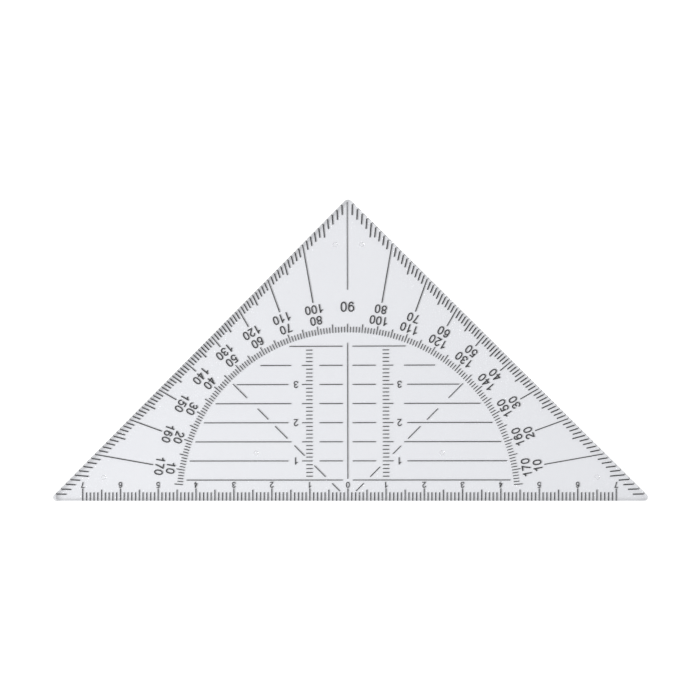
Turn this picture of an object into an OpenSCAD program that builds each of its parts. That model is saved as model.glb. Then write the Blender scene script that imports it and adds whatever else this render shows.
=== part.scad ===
// Protractor set square: a clear right-angled plate with a measuring edge and printed scales.
// The origin is the middle of the measuring edge, halfway through the plate.
// +X runs along the measuring edge, +Y points to the apex and +Z is the upper face.
// The print lies on the underside and reads right from above. It is laid out round its own zero
// mark, which lies a little to the left of the origin and a little above the edge.

/* [Plate] */
// Length of the measuring edge between its sharp corners
edge_length = 158.4; // [130:0.1:200]
// Thickness of the clear plate
plate_t = 2; // [1.2:0.1:3]
// Radius of the two outer corners, seen from above
corner_r = 0.9; // [0.7:0.1:1.5]
// Radius of the apex, seen from above
apex_r = 1.3; // [0.7:0.1:1.8]
// Width of the bevel round the upper face
upper_break = 0.2; // [0.1:0.05:0.6]
// Width of the bevel round the printed face
lower_break = 0.1; // [0.05:0.05:0.3]

/* [Standoff nubs] */
// Diameter of a nub where it leaves the plate
nub_d = 1.5; // [1:0.1:2]
// Width of the slope round a nub's flat tip
nub_slope = 0.4; // [0.1:0.05:0.45]
// Height of a nub below the plate
nub_h = 0.3; // [0.2:0.05:0.6]
// Distance between the two nubs near the apex
apex_nub_spacing = 7; // [5:0.5:9]
// Distance of the two apex nubs below the apex
apex_nub_drop = 12.2; // [11:0.2:14]
// Distance between the two nubs inside the half round scale
inner_nub_spacing = 48.8; // [44:0.2:54]
// Height of the inner nubs above the measuring edge
inner_nub_rise = 12.5; // [12:0.1:13.2]
// Distance of an outer nub from the sharp corner, along the edge
outer_nub_inset = 14.4; // [13.6:0.1:17.6]
// Height of the outer nubs above the measuring edge
outer_nub_rise = 6.1; // [5.8:0.1:6.7]

/* [Print] */
// Thickness of the ink
ink_t = 0.05; // [0.02:0.01:0.1]
// How far the zero mark lies to the left of the plate's middle
print_left = 0.3; // [0:0.05:0.6]
// How far the zero mark lies above the measuring edge
zero_rise = 0.4; // [0:0.05:0.6]
// Width of a mark on the measuring edge
mark_w = 0.25; // [0.15:0.01:0.35]
// Width of a mark on the two legs
leg_mark_w = 0.31; // [0.15:0.01:0.35]
// Width of a mark on the half round scale
arc_mark_w = 0.23; // [0.12:0.01:0.35]
// Width of a mark on the upright scales
ladder_mark_w = 0.24; // [0.12:0.01:0.35]
// Width of a parallel line
line_w = 0.24; // [0.12:0.01:0.3]
// Width of a dash of a diagonal
dash_w = 0.22; // [0.12:0.01:0.3]
// Width of the ninety degree line and the centre line
upright_line_w = 0.2; // [0.12:0.01:0.3]
// Width of a ten degree ray
ray_w = 0.26; // [0.12:0.01:0.3]

/* [Measuring edge scale] */
// Distance between two marks
mark_pitch = 1; // [1:0.05:1.2]
// Least distance from the scale's last mark to the sharp corner
scale_margin = 8; // [8:0.2:8.8]
// End of a plain mark, measured from the zero mark's height
edge_mark = 1.8; // [1.4:0.1:1.9]
// End of every fifth mark, measured the same way
edge_half_mark = 2.5; // [2.1:0.1:2.7]
// End of every tenth mark, measured the same way
edge_whole_mark = 2.8; // [2.5:0.1:3]
// Height of the numerals along the edge
edge_numeral_h = 1.6; // [1.2:0.1:1.8]
// Gap between a tenth mark and its numeral
edge_numeral_gap = 0.14; // [0.1:0.02:0.2]

/* [Leg scales] */
// Clear strip between the nearer leg's bevel and its marks
leg_mark_clear = 0.05; // [0.05:0.05:0.4]
// How much of the farther leg's wider strip its marks fill
far_strip_share = 0.35; // [0:0.05:1]
// End of a plain degree mark, measured in from the leg
leg_mark = 2.25; // [1.6:0.05:2.6]
// End of every fifth degree mark, measured in from the leg
leg_long_mark = 3.1; // [2.8:0.05:3.4]
// Inner end of the ten degree rays, as their depth at the middle of the leg
ray_depth = 3.6; // [3.4:0.05:4]
// Distance from the apex to the top of the ninety degree line
ninety_top = 1.1; // [0.9:0.1:3]
// Lower end of the ninety degree line, as its depth at the middle of the leg
ninety_depth = 0.95; // [0:0.05:1.4]

/* [Degree numerals] */
// Height of the degree numerals
degree_numeral_h = 2.33; // [1.8:0.01:2.5]
// Height of the ninety degree numeral
ninety_numeral_h = 2.7; // [2.2:0.05:3.2]
// Depth of the outer row's middle below the middle of the leg
outer_row_depth = 5.35; // [5.25:0.05:5.6]
// Distance between the two rows of numerals
row_pitch = 3; // [2.8:0.05:3.2]
// How much further in the ninety degree numeral stands than the outer row
ninety_numeral_drop = 0.05; // [0:0.05:0.5]

/* [Half round scale] */
// Distance from the middle of the inner numerals to the scale's longest marks
arc_gap = 1.5; // [1.4:0.05:2]
// Length of a plain degree mark
arc_mark = 1.5; // [1:0.05:1.8]
// Length of every fifth degree mark
arc_long_mark = 2.25; // [2:0.05:2.6]

/* [Parallel lines] */
// Least distance from the topmost line to the half round scale
top_line_gap = 1.5; // [1:0.1:3]
// Gap between the lines' outer ends and the half round scale
line_end_gap = 0.8; // [0.5:0.1:1.5]
// Gap between the centre line and the lines' inner ends
centre_gap = 1.3; // [0.8:0.1:1.6]
// How far the centre line starts above the lowest line
centre_start = 0.3; // [0:0.05:0.6]
// How far the centre line runs past the topmost line
centre_overrun = 0.9; // [0.3:0.1:1.2]
// Gap between the last dash of a diagonal and the line beside it
dash_gap = 0.8; // [0.5:0.1:1.5]

/* [Upright scales] */
// Inner part of a plain mark, towards the centre line
ladder_in = 0.8; // [0.4:0.1:1.2]
// Outer part of a plain mark
ladder_out = 0.9; // [0.5:0.1:1.4]
// Outer part of every fifth mark
ladder_long_out = 2; // [1.6:0.1:2.6]
// Distance from the scale to where the lines stop on its inner side
ladder_inner_gap = 2.6; // [1.6:0.1:4]
// Distance from the scale to where the lines start again
ladder_outer_gap = 4.8; // [4.4:0.1:5.4]
// Distance from the scale to where the lines beside a numeral start again
ladder_numeral_gap = 5.6; // [5:0.1:6.4]
// Distance from the scale to the middle of its numerals
ladder_numeral_x = 3.6; // [3.3:0.1:3.7]
// Height of the upright scales' numerals
ladder_numeral_h = 1.9; // [1.4:0.1:2]

/* [Hidden] */

// Colours
plate_colour = [0.86, 0.89, 0.94, 0.5];
ink_colour = [0.16, 0.16, 0.18];

// Plate: half its edge and half its thickness, and a leg's distance from the origin
half_edge = edge_length/2;
half_t = plate_t/2;
leg_distance = half_edge*cos(45);
apex_angle = 90;
base_angle = 45;
overrun = plate_t;
round_steps = 48;

// Counts of marks: every fifth one is long, and every tenth one is numbered
half_count = 5;
whole_count = 10;
last_degree = 180;
scale_count = floor((half_edge - scale_margin)/(whole_count*mark_pitch));

// Height of the apex above the zero mark, and the two legs' mean distance from the zero mark
apex_rise = half_edge - zero_rise;
mean_leg_r = apex_rise*cos(45);

// How far from the zero mark the marks of each leg end, which keeps them clear of its bevel.
// The zero mark lies nearer the left leg, and the strip beside the right leg is wider by twice this.
leg_shift = print_left*cos(45);
left_mark_end_r = mean_leg_r - leg_shift - lower_break - leg_mark_clear;
right_mark_end_r = left_mark_end_r + 2*leg_shift*far_strip_share;

// Half round scale and the two rows of numerals outside it
outer_row_r = mean_leg_r - outer_row_depth;
inner_row_r = outer_row_r - row_pitch;
arc_outer_r = inner_row_r - arc_gap;
arc_inner_r = arc_outer_r - arc_long_mark;

// Parallel lines, one for every fifth mark. The last but one is drawn a little short.
line_pitch = half_count*mark_pitch;
line_count = floor((arc_inner_r - top_line_gap)/line_pitch);
line_end_r = arc_inner_r - line_end_gap;
short_line_share = 0.977;

// Upright scales, under the first numbered marks of the edge
ladder_x = whole_count*mark_pitch;
ladder_first = half_count + 1;
ladder_last = half_count*line_count - 1;

// Diagonal dashes: where each starts and ends, as shares of the step between two lines
dash_count = floor(line_end_r*cos(45)/line_pitch);
left_dash_shares = [[0.42, 0.83], [0.17, 0.76], [0.27, 0.81], [0.17, 0.82], [0.17, 0.74], [0.3, 1.04]];
right_dash_shares = [[0.42, 0.83], [0.17, 0.69], [0.36, 0.79], [0.16, 0.81], [0.15, 0.73], [0.28, 1.04]];

// Numerals: a digit's width, step and pen widths as shares of its height
digit_w_share = 0.6;
digit_pitch_share = 0.73;
pen_share = 0.142;
fine_pen_share = 0.132;
pen_step = 12;

// Points along part of an ellipse, as shares of the box that the middle of the pen fills
function bend(cx, cy, rx, ry, from, to) =
    let (steps = ceil(abs(to - from)/pen_step))
    [for (i = [0 : steps])
        let (a = from + (to - from)*i/steps)
        [cx + rx*cos(a), cy + ry*sin(a)]];

// A whole ellipse, without its first point again at the end
function ring(cx, cy, rx, ry) = bend(cx, cy, rx, ry, 0, 360 - pen_step);

function turned(points) = [for (p = points) [1 - p.x, 1 - p.y]];

six_stem_shares = concat(bend(0.5, 0.6, 0.47, 0.4, 40, 180), [[0.03, 0.42]]);
six_bowl_shares = ring(0.5, 0.32, 0.5, 0.32);

// Closed pen strokes of each digit
closed_stroke_shares = [
    [concat(bend(0.5, 0.62, 0.5, 0.38, 0, 180), bend(0.5, 0.38, 0.5, 0.38, 180, 360))],
    [],
    [],
    [],
    [],
    [],
    [six_bowl_shares],
    [],
    [ring(0.5, 0.765, 0.44, 0.235), ring(0.5, 0.27, 0.5, 0.27)],
    [turned(six_bowl_shares)]];

// Open pen strokes of each digit
open_stroke_shares = [
    [],
    [[[0.66, 0], [0.66, 1]], [[0.16, 0.74], [0.38, 0.78], [0.6, 0.93]]],
    [concat(bend(0.5, 0.7, 0.48, 0.3, 165, -36), [[0.55, 0.33], [0.2, 0.14], [0.08, 0], [1, 0]])],
    [concat(bend(0.48, 0.755, 0.42, 0.245, 165, -90), [[0.36, 0.51]]),
     bend(0.48, 0.27, 0.52, 0.27, 75, -165)],
    [[[0.74, 0], [0.74, 1]], [[0.68, 0.95], [0.08, 0.28], [1, 0.28]]],
    [[[0.88, 1], [0.2, 1], [0.11, 0.5]], bend(0.48, 0.33, 0.52, 0.33, 142, -160)],
    [six_stem_shares],
    [[[0, 1], [0.93, 1], [0.56, 0.46], [0.36, 0.02]]],
    [],
    [turned(six_stem_shares)]];

function unit(v) = v/norm(v);
function left_of(v) = [-v.y, v.x];

// How far a stroke's side moves at a point, for a pen one unit to the left of the path
function corner_step(before, here, after) =
    let (n = left_of(unit(here - before)),
         m = unit(n + left_of(unit(after - here))))
    m/(m*n);

// One side of a pen stroke, d to the left of its path
function side(path, closed, d) =
    let (last = len(path) - 1)
    [for (i = [0 : last])
        let (before = i > 0 ? path[i - 1] : closed ? path[last] : 2*path[0] - path[1],
             after = i < last ? path[i + 1] : closed ? path[0] : 2*path[last] - path[last - 1])
        path[i] + d*corner_step(before, path[i], after)];

// An open path made longer by d at both ends
function lengthened(path, d) =
    let (last = len(path) - 1,
         start = path[0] + d*unit(path[0] - path[1]),
         end = path[last] + d*unit(path[last] - path[last - 1]))
    [for (i = [0 : last]) i == 0 ? start : i == last ? end : path[i]];

function reversed(points) = [for (i = [len(points) - 1 : -1 : 0]) points[i]];

// The middle of a pen stroke in a digit of this height, from its shares
function pen_path(shares, height, pen) =
    let (box = [digit_w_share*height - pen, height - pen])
    [for (p = shares) [pen/2 + p.x*box.x, pen/2 + p.y*box.y]];

// The bevelled disc that rounds a corner
module corner_disc(radius) {
    rotate_extrude($fn = round_steps)
        polygon([[0, -half_t], [radius - lower_break, -half_t], [radius, lower_break - half_t],
                 [radius, half_t - upper_break], [radius - upper_break, half_t], [0, half_t]]);
}

// What the rounding takes off a sharp corner at the origin that opens towards +X
module corner_waste(angle, radius) {
    half = angle/2;
    centre = [radius/sin(half), 0];
    reach = radius + overrun;
    beside = centre + reach*[-sin(half), cos(half)];
    difference() {
        translate([0, 0, -half_t - overrun])
            linear_extrude(plate_t + 2*overrun)
                polygon([centre, beside, [-overrun/sin(half), 0], [beside.x, -beside.y]]);
        translate([centre.x, 0, 0]) corner_disc(radius);
    }
}

// A slab as thick as the plate whose bevelled edge lies along X and whose inside is towards +Y
module edge_slab() {
    rotate([90, 0, 90])
        linear_extrude(2*edge_length, center = true)
            polygon([[0, lower_break - half_t], [lower_break, -half_t], [edge_length, -half_t],
                     [edge_length, half_t], [upper_break, half_t], [0, half_t - upper_break]]);
}

module leg_slab() {
    rotate(45) translate([leg_distance, 0, 0]) rotate(90) edge_slab();
}

module nub(x, y) {
    tip_r = nub_d/2 - nub_slope;
    translate([x, y, -half_t])
        rotate_extrude($fn = round_steps)
            polygon([[0, -nub_h], [tip_r, -nub_h], [nub_d/2, 0], [nub_d/2, lower_break], [0, lower_break]]);
}

module plate() {
    color(plate_colour) {
        difference() {
            intersection() {
                edge_slab();
                leg_slab();
                mirror([1, 0, 0]) leg_slab();
            }
            translate([0, half_edge, 0]) rotate(-90) corner_waste(apex_angle, apex_r);
            for (flip = [0, 1])
                mirror([flip, 0, 0])
                    translate([half_edge, 0, 0])
                        rotate(last_degree - base_angle/2) corner_waste(base_angle, corner_r);
        }
        for (s = [-1, 1]) {
            nub(s*apex_nub_spacing/2, half_edge - apex_nub_drop);
            nub(s*inner_nub_spacing/2, inner_nub_rise);
            nub(s*(half_edge - outer_nub_inset), outer_nub_rise);
        }
    }
}

// A layer of ink in the shape of its children, on the plate's underside round the zero mark
module printed() {
    color(ink_colour)
        translate([-print_left, zero_rise, -half_t - ink_t])
            linear_extrude(ink_t) children();
}

// A bar along +X, from one distance to another
module bar(from, to, width) {
    translate([from, -width/2]) square([to - from, width]);
}

// Its children on the right or, mirrored, on the left of the centre line
module on_side(left) {
    mirror([left ? 1 : 0, 0]) children();
}

// One digit with its lower left corner at the origin
module digit(value, height, pen) {
    half_pen = pen/2;
    closed = [for (shares = closed_stroke_shares[value]) pen_path(shares, height, pen)];
    open = [for (shares = open_stroke_shares[value]) lengthened(pen_path(shares, height, pen), half_pen)];
    difference() {
        union() {
            for (path = closed) polygon(side(path, true, -half_pen));
            for (path = open)
                polygon(concat(side(path, false, -half_pen), reversed(side(path, false, half_pen))));
        }
        for (path = closed) polygon(side(path, true, half_pen));
    }
}

// A whole number centred on the origin, reading along +X
module numeral(value, height, stroke_share) {
    digits = value < 10 ? [value]
        : value < 100 ? [floor(value/10), value % 10]
        : [floor(value/100), floor(value/10) % 10, value % 10];
    pitch = digit_pitch_share*height;
    width = (len(digits) - 1)*pitch + digit_w_share*height;
    for (i = [0 : len(digits) - 1])
        translate([i*pitch - width/2, -height/2]) digit(digits[i], height, stroke_share*height);
}

// A number on a circle round the zero mark, with its head towards the zero mark
module degree_numeral(value, angle, r, height, stroke_share) {
    rotate(angle) translate([r, 0]) rotate(90) numeral(value, height, stroke_share);
}

// Distance from the zero mark, along an angle, to a line that lies this far off beside a leg
function beside_leg(angle, distance) = distance/cos(angle - 45);

module edge_scale() {
    last = whole_count*scale_count;
    printed()
        for (i = [-last : last]) {
            end = i % whole_count == 0 ? edge_whole_mark
                : i % half_count == 0 ? edge_half_mark
                : edge_mark;
            translate([i*mark_pitch, 0]) rotate(90) bar(lower_break - zero_rise, end, mark_w);
        }
}

module edge_numerals() {
    y = edge_whole_mark + edge_numeral_gap + edge_numeral_h/2;
    printed()
        for (i = [-scale_count : scale_count])
            translate([i*whole_count*mark_pitch, y])
                rotate(180) numeral(abs(i), edge_numeral_h, pen_share);
}

module leg_scale(left) {
    end_r = left ? left_mark_end_r : right_mark_end_r;
    printed()
        on_side(left)
            for (a = [1 : 90 - 1])
                if (a % whole_count != 0)
                    rotate(a)
                        bar(beside_leg(a, mean_leg_r - (a % half_count == 0 ? leg_long_mark : leg_mark)),
                            beside_leg(a, end_r), leg_mark_w);
}

module left_leg_scale() {
    leg_scale(true);
}

module right_leg_scale() {
    leg_scale(false);
}

module rays(left) {
    end_r = left ? left_mark_end_r : right_mark_end_r;
    printed()
        on_side(left)
            for (a = [whole_count : whole_count : 90 - whole_count])
                rotate(a)
                    bar(mean_leg_r - ray_depth, beside_leg(a, end_r), ray_w);
}

module left_rays() {
    rays(true);
}

module right_rays() {
    rays(false);
}

module ninety_line() {
    printed() rotate(90) bar(mean_leg_r - ninety_depth, apex_rise - ninety_top, upright_line_w);
}

module ninety_numeral() {
    printed() degree_numeral(90, 90, outer_row_r - ninety_numeral_drop, ninety_numeral_h, fine_pen_share);
}

module outer_degree_numerals() {
    printed()
        for (a = [whole_count : whole_count : last_degree - whole_count])
            if (a != 90) degree_numeral(a, a, outer_row_r, degree_numeral_h, pen_share);
}

module inner_degree_numerals() {
    printed()
        for (a = [whole_count : whole_count : last_degree - whole_count])
            if (a != 90) degree_numeral(last_degree - a, a, inner_row_r, degree_numeral_h, pen_share);
}

module half_round_scale() {
    short_r = arc_inner_r + arc_mark;
    printed()
        for (a = [half_count : last_degree - half_count])
            rotate(a) bar(arc_inner_r, a % half_count == 0 ? arc_outer_r : short_r, arc_mark_w);
}

// Distance from the centre line to the outer end of a parallel line
function line_end(k) =
    let (y = k*line_pitch,
         r = k == line_count - 1 ? short_line_share*line_end_r : line_end_r)
    k == dash_count ? y - dash_gap : sqrt(r*r - y*y);

module parallel_lines(left) {
    printed()
        on_side(left)
            for (k = [1 : line_count])
                translate([0, k*line_pitch])
                    if (k == 1 || k == line_count) {
                        bar(centre_gap, line_end(k), line_w);
                    } else {
                        numbered = k*half_count % whole_count == 0;
                        bar(centre_gap, ladder_x - ladder_inner_gap, line_w);
                        bar(ladder_x + (numbered ? ladder_numeral_gap : ladder_outer_gap),
                            line_end(k), line_w);
                    }
}

module left_parallel_lines() {
    parallel_lines(true);
}

module right_parallel_lines() {
    parallel_lines(false);
}

module centre_line() {
    printed()
        rotate(90)
            bar(line_pitch + centre_start, line_count*line_pitch + centre_overrun, upright_line_w);
}

module upright_scale(left) {
    printed()
        on_side(left)
            for (i = [ladder_first : ladder_last])
                translate([ladder_x, i*mark_pitch])
                    bar(-ladder_in, i % half_count == 0 ? ladder_long_out : ladder_out, ladder_mark_w);
}

module left_upright_scale() {
    upright_scale(true);
}

module right_upright_scale() {
    upright_scale(false);
}

module upright_numerals(side_sign) {
    x = side_sign*(ladder_x + ladder_numeral_x);
    printed()
        for (i = [1 : floor(ladder_last/whole_count)])
            translate([x, i*whole_count*mark_pitch])
                rotate(180) numeral(i, ladder_numeral_h, fine_pen_share);
}

module left_upright_numerals() {
    upright_numerals(-1);
}

module right_upright_numerals() {
    upright_numerals(1);
}

module diagonal(left, dash_shares) {
    along = line_pitch/cos(45);
    printed()
        on_side(left)
            rotate(45)
                for (k = [0 : dash_count - 1]) {
                    dash = dash_shares[k % len(dash_shares)];
                    bar((k + dash[0])*along, (k + dash[1])*along, dash_w);
                }
}

module left_diagonal() {
    diagonal(true, left_dash_shares);
}

module right_diagonal() {
    diagonal(false, right_dash_shares);
}

plate();
edge_scale();
edge_numerals();
left_leg_scale();
right_leg_scale();
left_rays();
right_rays();
ninety_line();
ninety_numeral();
outer_degree_numerals();
inner_degree_numerals();
half_round_scale();
left_parallel_lines();
right_parallel_lines();
centre_line();
left_upright_scale();
right_upright_scale();
left_upright_numerals();
right_upright_numerals();
left_diagonal();
right_diagonal();
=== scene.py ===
# %% [markdown]
# # A clear protractor set square
#
# The real object is one moulded plate of clear plastic with black print on its underside. Seen
# from above on white paper it hardly has a colour of its own: it is a pale grey shape, because
# its two faces and the plastic between them hold back a little light. So this lesson is about
# three things: a plate whose edges and nubs are real geometry, a clear plastic that lets the
# lamps through to the paper, and an ink that stays dark without being a flat black.
#
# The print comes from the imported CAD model, where each group of marks is a node of its own. Its
# shapes are right, so only its finish is made here. The plate is modelled again with softer
# edges.

# %% Load the frame
import math

import bmesh
import bpy
from mathutils import Euler, Matrix, Vector


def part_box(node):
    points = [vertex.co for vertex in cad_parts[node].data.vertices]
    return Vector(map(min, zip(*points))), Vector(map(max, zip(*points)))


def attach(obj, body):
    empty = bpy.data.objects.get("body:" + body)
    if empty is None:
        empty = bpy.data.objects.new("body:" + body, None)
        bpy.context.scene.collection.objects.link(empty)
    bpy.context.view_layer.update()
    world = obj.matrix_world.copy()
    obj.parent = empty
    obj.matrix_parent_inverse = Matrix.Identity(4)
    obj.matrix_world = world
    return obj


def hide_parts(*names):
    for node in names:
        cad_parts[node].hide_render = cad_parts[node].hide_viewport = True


MM = 0.001

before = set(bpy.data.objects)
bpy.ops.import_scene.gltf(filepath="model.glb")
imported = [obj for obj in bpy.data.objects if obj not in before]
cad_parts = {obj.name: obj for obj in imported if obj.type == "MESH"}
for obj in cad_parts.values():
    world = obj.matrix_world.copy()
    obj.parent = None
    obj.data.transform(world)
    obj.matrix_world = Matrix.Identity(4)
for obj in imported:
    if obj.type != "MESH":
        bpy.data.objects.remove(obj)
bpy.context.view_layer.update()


print("nodes:", len(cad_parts))

# %% [markdown]
# ## The plate's sizes
#
# The measuring edge lies along X with its middle at the origin, and the apex points along +Y. The
# heights of the upper face, of the printed face and of the nubs' tips could be typed in again,
# but they are read from the frame's boxes, so that this plate can't drift away from the CAD
# plate. The box stops at the rounded corners, and a corner of 45 degrees with radius r ends r
# times the square root of two short of its sharp point, which gives half the length of the sharp
# measuring edge.
#
# Everything is modelled in millimetres and made smaller at the end, because mesh operators merge
# and compare points with small fixed distances, which suit a plate of 150 units better than one
# of 0.15.

# %% Sizes of the plate
CORNER_RADIUS = 0.9
APEX_RADIUS = 1.3
UPPER_ROUND = 0.2
LOWER_BEVEL = 0.1

plate_low, plate_high = (corner/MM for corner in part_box("plate"))
upper_face = plate_high.z
printed_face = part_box("edge_scale")[1].z/MM
nub_tip = plate_low.z
half_edge = plate_high.x + math.sqrt(2)*CORNER_RADIUS
print(f"half edge {half_edge:.2f} mm, plate {upper_face - printed_face:.2f} mm thick")
print(f"nubs {printed_face - nub_tip:.2f} mm high")

# %% [markdown]
# ## The plate's outline
#
# A rounded triangle could be drawn point by point, or cut from a sharp one with a bevel. A vertex
# bevel gives a true arc only at a right angle, and the two outer corners are much sharper than
# that. A convex hull does it without any sums: put a circle in each corner, once at the upper
# face and once at the printed face, and stretch a skin round all six. The skin is made of
# triangles, so a limited dissolve joins the ones that lie in one plane.

# %% Stretch a skin round six circles
CIRCLE_STEPS = 64
OUTER_CORNER = math.radians(45)
SAME_PLANE = math.radians(0.2)

corner_inset = CORNER_RADIUS/math.tan(OUTER_CORNER/2)
corners = [(-(half_edge - corner_inset), CORNER_RADIUS, CORNER_RADIUS),
           (half_edge - corner_inset, CORNER_RADIUS, CORNER_RADIUS),
           (0, half_edge - math.sqrt(2)*APEX_RADIUS, APEX_RADIUS)]


def add_circle(mesh, x, y, z, radius, steps):
    """A ring of edges that lies flat, with its centre at x, y, z."""
    return bmesh.ops.create_circle(mesh, cap_ends=False, radius=radius, segments=steps,
                                   matrix=Matrix.Translation((x, y, z)))["verts"]


plate_mesh = bmesh.new()
for x, y, radius in corners:
    for z in (upper_face, printed_face):
        add_circle(plate_mesh, x, y, z, radius, CIRCLE_STEPS)
skin = bmesh.ops.convex_hull(plate_mesh, input=plate_mesh.verts)
inside = {part for part in skin["geom_interior"] + skin["geom_unused"]
          if isinstance(part, bmesh.types.BMVert)}
bmesh.ops.delete(plate_mesh, geom=list(inside), context="VERTS")
loose = [edge for edge in plate_mesh.edges if not edge.link_faces]
bmesh.ops.delete(plate_mesh, geom=loose, context="EDGES")
bmesh.ops.dissolve_limit(plate_mesh, angle_limit=SAME_PLANE, verts=plate_mesh.verts,
                         edges=plate_mesh.edges)
bmesh.ops.recalc_face_normals(plate_mesh, faces=plate_mesh.faces)
print("faces of the plain plate:", len(plate_mesh.faces))

# %% [markdown]
# ## Soft edges
#
# A moulded plate has no sharp edge. The rim of the upper face is rounded and the rim of the
# printed face has a small flat bevel. Both are less than a pixel wide in the main view, but they
# draw the thin light and dark lines along the edges: the round bends the print that lies under
# it, and the bevel works as a tiny mirror. A Bevel modifier would treat both rims alike, so each
# gets its own call of the bevel operator, which is told everything that the editor would fill in.
# A face counts as level when its normal is all but upright, and two heights as the same within a
# hundredth of a millimetre.

# %% Soften both rims
LEVEL = 0.9999
SAME_HEIGHT = 0.01
ROUND_STEPS = 6


def soften_rim(mesh, height, width, steps):
    """Bevels the edges round the level face at this height."""
    rim = [edge for edge in mesh.edges
           if any(abs(face.normal.z) > LEVEL for face in edge.link_faces)
           and all(abs(vert.co.z - height) < SAME_HEIGHT for vert in edge.verts)]
    bmesh.ops.bevel(mesh, geom=rim, offset=width, offset_type="OFFSET", affect="EDGES",
                    segments=steps, profile=0.5, material=-1, clamp_overlap=True)


soften_rim(plate_mesh, upper_face, UPPER_ROUND, ROUND_STEPS)
soften_rim(plate_mesh, printed_face, LOWER_BEVEL, 1)
print("faces with soft edges:", len(plate_mesh.faces))

# %% [markdown]
# ## Room for the standoff nubs
#
# Six small round nubs keep the print off the paper. They are moulded in one with the plate, so
# they have to grow out of its underside. A separate nub that only sits in the plate would be
# easier, but inside clear plastic its hidden wall would show. The underside is therefore taken
# away and filled again round six circles, which leaves an open hole at each nub. Two nubs lie
# near the apex, two inside the half round scale and two near the ends of the measuring edge.

# %% Open the underside and leave a circle at each nub
NUB_RADIUS = 0.75
NUB_STEPS = 40
APEX_NUB_ACROSS, APEX_NUB_DROP = 3.5, 12.2
INNER_NUB_ACROSS, INNER_NUB_RISE = 24.4, 12.5
OUTER_NUB_INSET, OUTER_NUB_RISE = 14.4, 6.1

nub_pairs = [(APEX_NUB_ACROSS, half_edge - APEX_NUB_DROP),
             (INNER_NUB_ACROSS, INNER_NUB_RISE),
             (half_edge - OUTER_NUB_INSET, OUTER_NUB_RISE)]
underside = [face for face in plate_mesh.faces
             if face.normal.z < -LEVEL
             and face.calc_center_median().z < printed_face + SAME_HEIGHT]
bmesh.ops.delete(plate_mesh, geom=underside, context="FACES_ONLY")
border = [edge for edge in plate_mesh.edges if edge.is_boundary]
nub_rings = []
for across, y in nub_pairs:
    for x in (-across, across):
        ring = add_circle(plate_mesh, x, y, printed_face, NUB_RADIUS, NUB_STEPS)
        ring_edges = list(dict.fromkeys(edge for vert in ring for edge in vert.link_edges))
        nub_rings.append((Vector((x, y, 0)), ring_edges))
bmesh.ops.triangle_fill(plate_mesh, use_beauty=True, use_dissolve=False, normal=(0, 0, -1),
                        edges=border + [edge for _, ring in nub_rings for edge in ring])
print("nubs:", len(nub_rings), "rim edges:", len(border))

# %% [markdown]
# ## The nubs' slopes
#
# A straight cone would show as a crisp dark ring through the plate, because its slope bends every
# ray by the same angle. The photograph shows a soft ring. So each circle is extruded in eight
# small steps: its radius shrinks evenly, and its depth follows half a cosine wave, which leaves
# the plate level, is steepest half way down and runs level into the tip. The last ring is filled
# with one flat face.

# %% Extrude each circle into a nub
NUB_SLOPE = 0.46
SLOPE_STEPS = 8

nub_height = printed_face - nub_tip


def close_in(mesh, ring, centre, ratio, drop):
    """Extrudes a ring of edges, scales the new ring about its centre and lowers it."""
    new = bmesh.ops.extrude_edge_only(mesh, edges=ring)["geom"]
    verts = [part for part in new if isinstance(part, bmesh.types.BMVert)]
    edges = [part for part in new if isinstance(part, bmesh.types.BMEdge)]
    bmesh.ops.scale(mesh, vec=(ratio, ratio, 1), verts=verts, space=Matrix.Translation(-centre))
    bmesh.ops.translate(mesh, vec=(0, 0, -drop), verts=verts)
    return edges


for centre, ring in nub_rings:
    radius, depth = NUB_RADIUS, 0
    for step in range(1, SLOPE_STEPS + 1):
        share = step/SLOPE_STEPS
        next_radius = NUB_RADIUS - NUB_SLOPE*share
        next_depth = nub_height*(1 - math.cos(math.pi*share))/2
        ring = close_in(plate_mesh, ring, centre, next_radius/radius, next_depth - depth)
        radius, depth = next_radius, next_depth
    bmesh.ops.contextual_create(plate_mesh, geom=ring)
bmesh.ops.recalc_face_normals(plate_mesh, faces=plate_mesh.faces)
open_edges = [edge for edge in plate_mesh.edges if len(edge.link_faces) != 2]
print("faces with nubs:", len(plate_mesh.faces), "open edges:", len(open_edges))
print("volume in mm3:", round(plate_mesh.calc_volume(), 1))

# %% [markdown]
# ## From mesh to piece
#
# The finished mesh is brought down to metres and its object stays at the origin, as the CAD nodes
# do.
#
# Which faces are shaded smooth matters more on clear plastic than on a solid colour. Smooth
# shading tilts the normals of a large flat face a little towards its rounded neighbours. Light
# that meets the face at a low angle is then bent wrongly, and black patches show from the side.
# So the level faces and the large side walls are shaded flat, and only the small rounds and the
# nubs' slopes are smooth, except across an edge that turns sharply.

# %% Make the plate an object
LARGE_FACE = 30
SHARP_TURN = math.radians(35)


def finish_piece(mesh, name):
    """Turns a bmesh in millimetres into a piece in metres that rides on the plate's body."""
    for face in mesh.faces:
        face.smooth = abs(face.normal.z) < LEVEL and face.calc_area() < LARGE_FACE
    bmesh.ops.scale(mesh, vec=(MM, MM, MM), verts=mesh.verts)
    for edge in mesh.edges:
        edge.smooth = edge.calc_face_angle(0) < SHARP_TURN
    data = bpy.data.meshes.new(name)
    mesh.to_mesh(data)
    mesh.free()
    piece = bpy.data.objects.new(name, data)
    bpy.context.scene.collection.objects.link(piece)
    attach(piece, "root")
    return piece


clear_plate = finish_piece(plate_mesh, "clear_plate")
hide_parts("plate")
print("clear_plate:", len(clear_plate.data.polygons), "faces")

# %% [markdown]
# ## Shader maths as expressions
#
# A material's maths is easier to read as a sum than as a row of Math nodes. This small class
# wraps a socket and overloads the operators used below, so that an expression on values adds the
# nodes by itself.


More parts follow.
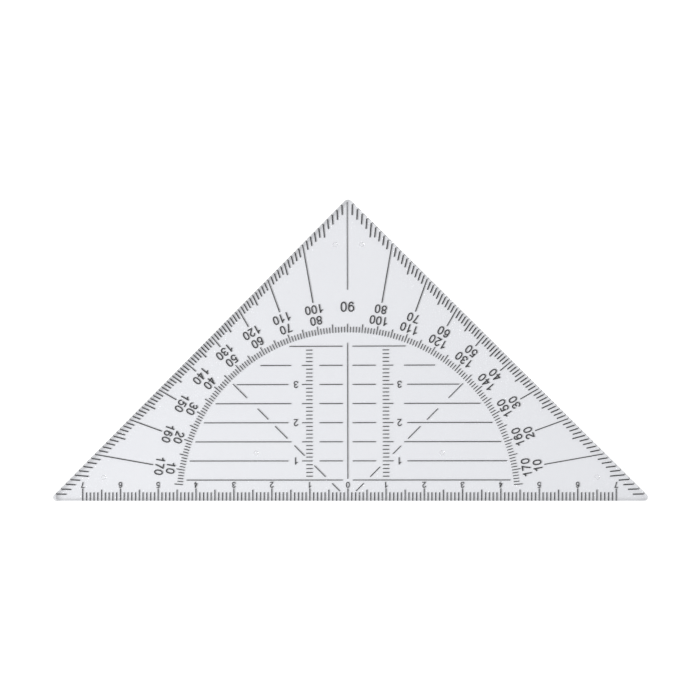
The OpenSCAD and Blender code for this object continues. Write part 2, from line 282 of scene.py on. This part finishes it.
# %% A socket that can be added and multiplied
class Wire:
    """An output socket of a finish's node, with arithmetic."""

    def __init__(self, finish, socket):
        self.finish, self.socket = finish, socket

    def maths(self, operation, first, second):
        return self.finish.node("ShaderNodeMath", {"operation": operation}, _0=first, _1=second)

    def __add__(self, other):
        return self.maths("ADD", self, other)

    def __sub__(self, other):
        return self.maths("SUBTRACT", self, other)

    def __rsub__(self, other):
        return self.maths("SUBTRACT", other, self)

    def __mul__(self, other):
        return self.maths("MULTIPLY", self, other)

    __radd__, __rmul__ = __add__, __mul__

    def above(self, low, high):
        """0 below low, 1 above high and a smooth step between."""
        return self.finish.node("ShaderNodeMapRange", {"interpolation_type": "SMOOTHSTEP"},
                                out="Result", Value=self, From_Min=low, From_Max=high)


print("a wire adds, subtracts and multiplies, with a number on either side")

# %% [markdown]
# ## One method for every other node
#
# A node could be added by hand each time, in four or five lines. Here one method takes the node's
# type, its settings, and the values or wires of its sockets, so that each finish below reads as a
# short recipe. The few patterns that several finishes need are methods as well. The world is
# built with nodes too, so the same class serves for it.


# %% A finish that is built node by node
class Finish:
    """A material, or the world, that is built node by node."""

    def __init__(self, owner, output="ShaderNodeOutputMaterial"):
        owner.use_nodes = True
        self.owner, self.tree = owner, owner.node_tree
        self.tree.nodes.clear()
        self.output = self.tree.nodes.new(output)

    def node(self, kind, settings=None, out=0, **sockets):
        """One node: its settings first, then values or wires for its sockets.

        A socket is named with _ for a space, or by its number, as _0, where names repeat.
        """
        node = self.tree.nodes.new(kind)
        for key, value in (settings or {}).items():
            setattr(node, key, value)
        for key, value in sockets.items():
            name = int(key[1:]) if key[1:].isdigit() else key.replace("_", " ")
            socket = node.inputs[name]
            if isinstance(value, Wire):
                self.tree.links.new(value.socket, socket)
            else:
                socket.default_value = value
        return Wire(self, node.outputs[out])

    def place(self):
        """Object coordinates in metres, which are the whole object's own frame on every piece."""
        return self.node("ShaderNodeTexCoord", out="Object")

    def ray_is(self, kind):
        """1 for rays of one kind, such as Camera, and 0 for all others."""
        return self.node("ShaderNodeLightPath", out=f"Is {kind} Ray")

    def noise(self, scale, detail, stretch=(1, 1, 1)):
        """Noise between 0 and 1 with about so many blotches in a metre."""
        spread = self.node("ShaderNodeMapping", Vector=self.place(), Scale=stretch)
        return self.node("ShaderNodeTexNoise", Vector=spread, Scale=scale, Detail=detail)

    def hairlines(self, scale, stretch, faint, full):
        """Thin stretched lines: 0 where the noise is below faint, 1 where it is above full."""
        return self.noise(scale, detail=3, stretch=stretch).above(faint, full)

    def blend(self, share, low, high):
        """A colour between two colours."""
        return self.node("ShaderNodeMix", {"data_type": "RGBA"}, out=2, _0=share, _6=low, _7=high)

    def mix(self, share, first, second):
        """A shader between two shaders, or one or the other where share is 0 or 1."""
        return self.node("ShaderNodeMixShader", _0=share, _1=first, _2=second)

    def shows(self, shader):
        """Makes this shader the surface, and gives back the material or world."""
        self.tree.links.new(shader.socket, self.output.inputs["Surface"])
        return self.owner


print("a finish makes any node with one method, and has short names for the common ones")

# %% [markdown]
# ## Clear moulded plastic
#
# Polystyrene or acrylic of this kind has a refractive index near 1.5 and a faint cool tint. The
# glass part of the Principled shader gives the reflections and the bent light at the edges. The
# finish isn't perfectly even. Handling leaves fine hairlines and a faint haze, which only show in
# a reflection: long stretched noise makes the hairlines, soft noise makes the haze and the slight
# change of tint, and a very shallow bump gives the faces the slow swell of a moulding.

# %% The clear plastic
PLASTIC_IOR = 1.49
TINT_LOW, TINT_HIGH = (0.779, 0.786, 0.816, 1), (0.799, 0.806, 0.829, 1)
POLISH = 0.012
HAZE_ROUGHNESS = 0.02
HAIRLINE_ROUGHNESS = 0.03

plastic = Finish(bpy.data.materials.new("clear_moulded_plastic"))
hairlines_along = plastic.hairlines(scale=60, stretch=(1, 40, 1), faint=0.66, full=0.74)
hairlines_across = plastic.hairlines(scale=70, stretch=(30, 1.5, 1), faint=0.68, full=0.75)
haze = plastic.noise(scale=45, detail=3)
swell = plastic.noise(scale=90, detail=1)
roughness = (POLISH + HAZE_ROUGHNESS*haze + HAIRLINE_ROUGHNESS*hairlines_along
             + HAIRLINE_ROUGHNESS*hairlines_across)
bump = plastic.node("ShaderNodeBump", Strength=0.02, Distance=0.1*MM, Height=swell)
tint = plastic.blend(haze, TINT_LOW, TINT_HIGH)
clear = plastic.node("ShaderNodeBsdfPrincipled", Base_Color=tint, Roughness=roughness,
                     Normal=bump, IOR=PLASTIC_IOR, Transmission_Weight=1.0)
print("clear plastic: nodes so far", len(plastic.tree.nodes))

# %% [markdown]
# ## Side walls and trapped light
#
# The side walls come out of the mould slightly frosted, so most of their look comes from a plain
# matt shader. Its dark grey is partly painted shade: besides the real frosting, it darkens the
# plate's rims where the edges are in shade. The place of a side wall is read from its height,
# with a short fade to the polished rims.
#
# Glass blocks lamps: a ray from the paper to a lamp counts as shadowed, and the paper under the
# plate would go dark. Caustics could bring that light back, but they are slow and grainy. So a
# Mix Shader gives such rays, and the soft rays that leave the paper, a Transparent shader that
# holds back only a little light. At the side walls it is mostly black: light that enters there is
# trapped between the two faces by total reflection and doesn't reach the paper, which gives the
# real plate its dark rims.

# %% The side walls, and light through the plate
SIDE_FADE = 0.1*MM
FROSTED_SHADE_SHARE = 0.9
TRAPPED_SHARE = 0.75

wall_low, wall_high = (printed_face + LOWER_BEVEL)*MM, (upper_face - UPPER_ROUND)*MM
height = plastic.node("ShaderNodeSeparateXYZ", out="Z", Vector=plastic.place())
side_wall = (height.above(wall_low, wall_low + SIDE_FADE)
             - height.above(wall_high - SIDE_FADE, wall_high))
# Frosted wall whose dark grey is partly painted shade, which darkens the rims
frosted_wall_painted_shade = plastic.node("ShaderNodeBsdfPrincipled", Base_Color=(0.3, 0.31, 0.33, 1), Roughness=0.5)
body = plastic.mix(FROSTED_SHADE_SHARE*side_wall, clear, frosted_wall_painted_shade)
passed = plastic.node("ShaderNodeBsdfTransparent", Color=(0.96, 0.962, 0.968, 1))
trapped = plastic.node("ShaderNodeBsdfTransparent", Color=(0, 0, 0, 1))
let_through = plastic.mix(TRAPPED_SHARE*side_wall, passed, trapped)
seen_plate = plastic.mix(plastic.ray_is("Diffuse"), body, let_through)
clear_plate.data.materials.append(
    plastic.shows(plastic.mix(plastic.ray_is("Shadow"), seen_plate, let_through)))
print("clear plastic: nodes", len(plastic.tree.nodes))

# %% [markdown]
# ## Printed ink
#
# The print is a thin layer of black ink. One dark colour would look like a drawing: real ink is
# not a perfect black, and it is a little thinner in some places than in others, which a slow
# noise and a fine one bring into its colour and its roughness. Every node but the plate is print,
# so they all take this finish.

# %% The ink
INK_DARK, INK_THIN = (0.012, 0.012, 0.014, 1), (0.03, 0.03, 0.034, 1)
SLOW_SHARE, FINE_SHARE = 0.7, 0.3
INK_ROUGHNESS, INK_UNEVEN = 0.45, 0.2

ink = Finish(bpy.data.materials.new("black_printed_ink"))
thin_places = ink.noise(scale=400, detail=4)
grain = ink.noise(scale=9000, detail=2)
ink_colour = ink.blend(SLOW_SHARE*thin_places + FINE_SHARE*grain, INK_DARK, INK_THIN)
ink_bump = ink.node("ShaderNodeBump", Strength=0.15, Distance=0.01*MM, Height=grain)
ink_material = ink.shows(ink.node(
    "ShaderNodeBsdfPrincipled", Base_Color=ink_colour, IOR=1.5, Normal=ink_bump,
    Roughness=INK_ROUGHNESS + INK_UNEVEN*thin_places))
printed_nodes = [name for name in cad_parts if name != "plate"]
for name in printed_nodes:
    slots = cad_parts[name].data.materials
    slots.clear()
    slots.append(ink_material)
print("printed groups:", len(printed_nodes))

# %% [markdown]
# ## Paper
#
# The object lies on white paper. Stronger lamps would make the paper white, but they would bleach
# the object too. So the paper helps itself, by the kind of ray that looks at it:
#
# - Bare paper, which the camera sees directly, is mostly a white glow. The part of it that is
#   still lit paper keeps a soft trace of the plate's shadow.
# - Paper that is seen through the plate, or mirrored in it, gets a weaker glow on top of its
#   light.
# - For all other rays it is plain lit paper, so no glow falls on the object.
#
# The paper lies a hair's breadth below the nubs' tips, because two surfaces in one plane flicker.

# %% The paper
PAPER_GAP = 0.02
PAPER_SIZE = 2.5
WHITE_SHARE = 0.7

paper = Finish(bpy.data.materials.new("white_paper"))
sheet = paper.node("ShaderNodeBsdfPrincipled", Base_Color=(0.86, 0.86, 0.86, 1), Roughness=0.9)
glow = paper.node("ShaderNodeEmission", Color=(1, 1, 1, 1), Strength=0.28)
white = paper.node("ShaderNodeEmission", Color=(1, 1, 1, 1), Strength=1.28)
glowing_sheet = paper.node("ShaderNodeAddShader", _0=sheet, _1=glow)
bare_sheet = paper.mix(WHITE_SHARE, sheet, white)
by_plate = paper.mix(paper.ray_is("Glossy") + paper.ray_is("Transmission"), sheet, glowing_sheet)
floor_mesh = bmesh.new()
bmesh.ops.create_grid(floor_mesh, x_segments=1, y_segments=1, size=PAPER_SIZE,
                      matrix=Matrix.Translation((0, 0, (nub_tip - PAPER_GAP)*MM)))
floor_data = bpy.data.meshes.new("paper")
floor_mesh.to_mesh(floor_data)
floor_mesh.free()
floor = bpy.data.objects.new("paper", floor_data)
bpy.context.scene.collection.objects.link(floor)
floor_data.materials.append(
    paper.shows(paper.mix(paper.ray_is("Camera"), by_plate, bare_sheet)))
print("paper: nodes", len(paper.tree.nodes))

# %% [markdown]
# ## Light
#
# A photograph like this is taken with soft lamps at both sides. The left lamp is the strong one,
# and the right lamp lies further back and is larger, which gives the soft light that fills the
# shadows. Together with a faint light from all round they are set so that a colour renders about
# as it is written. The room's own colour could be as faint as its light, but then the plate would
# mirror a dark room when it is seen from the side. So rays that see the room, directly or by way
# of the plastic, find it white, and only its light on things stays faint.

# %% The light
ROOM_LIGHT = 0.25
MIDDLE = Vector((0, 0.035, 0))

room = Finish(bpy.data.worlds.new("soft_room"), "ShaderNodeOutputWorld")
is_seen = room.ray_is("Camera") + room.ray_is("Glossy") + room.ray_is("Transmission")
faint_room = room.node("ShaderNodeBackground", Color=(1, 1, 1, 1), Strength=ROOM_LIGHT)
white_room = room.node("ShaderNodeBackground", Color=(1, 1, 1, 1), Strength=1.0)
bpy.context.scene.world = room.shows(room.mix(is_seen, faint_room, white_room))


def softbox(name, place, size, power):
    """A square lamp that looks at the middle of the object."""
    lamp = bpy.data.lights.new(name, "AREA")
    lamp.shape, lamp.size, lamp.energy = "SQUARE", size, power
    holder = bpy.data.objects.new(name, lamp)
    bpy.context.scene.collection.objects.link(holder)
    holder.location = place
    holder.rotation_euler = (MIDDLE - Vector(place)).to_track_quat("-Z", "Y").to_euler()
    print(name, "stands", round((MIDDLE - Vector(place)).length, 2), "m away")


softbox("left_softbox", place=(-0.62, -0.15, 0.82), size=0.45, power=8.7)
softbox("right_softbox", place=(0.7, 0.7, 1.0), size=0.8, power=2.2)

# %% [markdown]
# ## Camera
#
# The photograph was taken from almost straight above, about five degrees off. The camera could be
# placed by eye, but the print is a ruler, so its place was fitted to the marks: the point it
# looks at, half the width that it sees there, and how far away it stands, as a multiple of that
# half width. A lens whose length is the same multiple of half the sensor sees just that width.

# %% The camera
LENS_RATIO = 11.0
HALF_VIEW = 91.54
AIM_POINT = (0.377, 39.406, -0.34)
CAMERA_TURN = (0.0107, 0.0849, -0.0024)
SENSOR_WIDTH = 36
NEAREST, FARTHEST = 0.05, 20

camera_data = bpy.data.cameras.new("camera")
camera_data.sensor_width = SENSOR_WIDTH
camera_data.lens = LENS_RATIO*SENSOR_WIDTH/2
camera_data.clip_start, camera_data.clip_end = NEAREST, FARTHEST
camera = bpy.data.objects.new("camera", camera_data)
bpy.context.scene.collection.objects.link(camera)
turn = Euler(CAMERA_TURN, "XYZ")
camera.rotation_euler = turn
stand_off = Vector((0, 0, LENS_RATIO*HALF_VIEW*MM))
camera.location = Vector(AIM_POINT)*MM + turn.to_matrix() @ stand_off
bpy.context.scene.camera = camera
bpy.context.scene.view_settings.view_transform = "Standard"
print("camera in mm:", [round(c/MM, 1) for c in camera.location])
